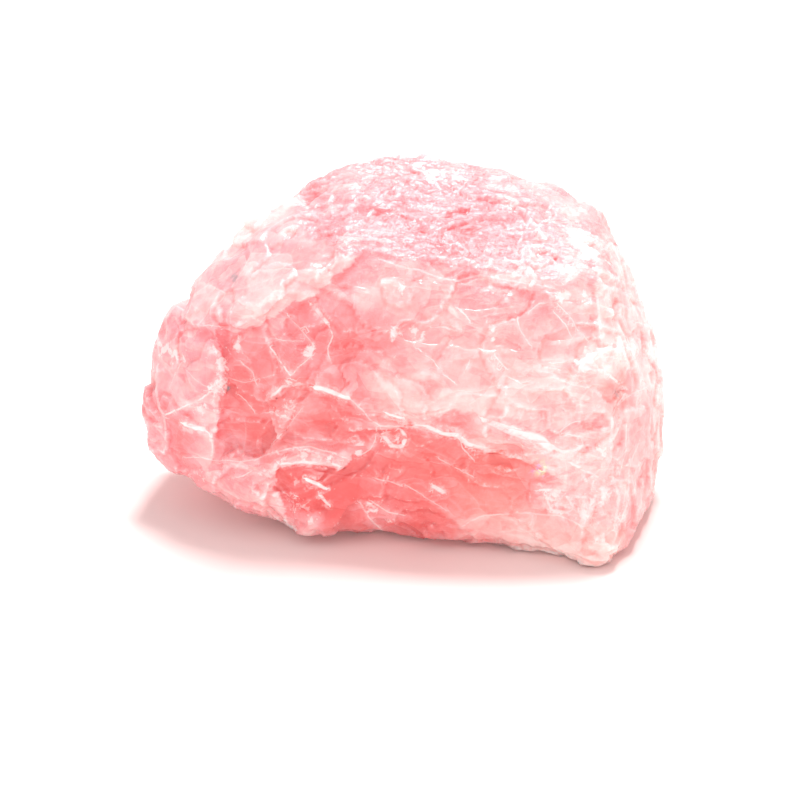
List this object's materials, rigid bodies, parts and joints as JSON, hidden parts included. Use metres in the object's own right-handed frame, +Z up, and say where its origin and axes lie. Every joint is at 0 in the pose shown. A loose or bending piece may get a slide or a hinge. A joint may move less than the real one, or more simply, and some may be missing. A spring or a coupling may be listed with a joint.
{
  "type": "rose quartz chunk",
  "caption": "Rough lump of rose quartz broken on every side, with a domed top and a flat underside that it rests on.",
  "frame": {"origin": "middle of the bounding box's underside, on the surface the stone rests on", "axes": "+X along the stone's longest side, to the right as its broken front is looked at; +Y from the front to the back; +Z up"},
  "size_m": [0.0804, 0.055, 0.0522],
  "materials": {
    "rose_quartz": "translucent, glossy on fresh breaks and milky white on bruised ridges"
  },
  "bodies": {
    "root": {"rose_quartz_chunk": "rose_quartz"}
  },
  "joints": []
}
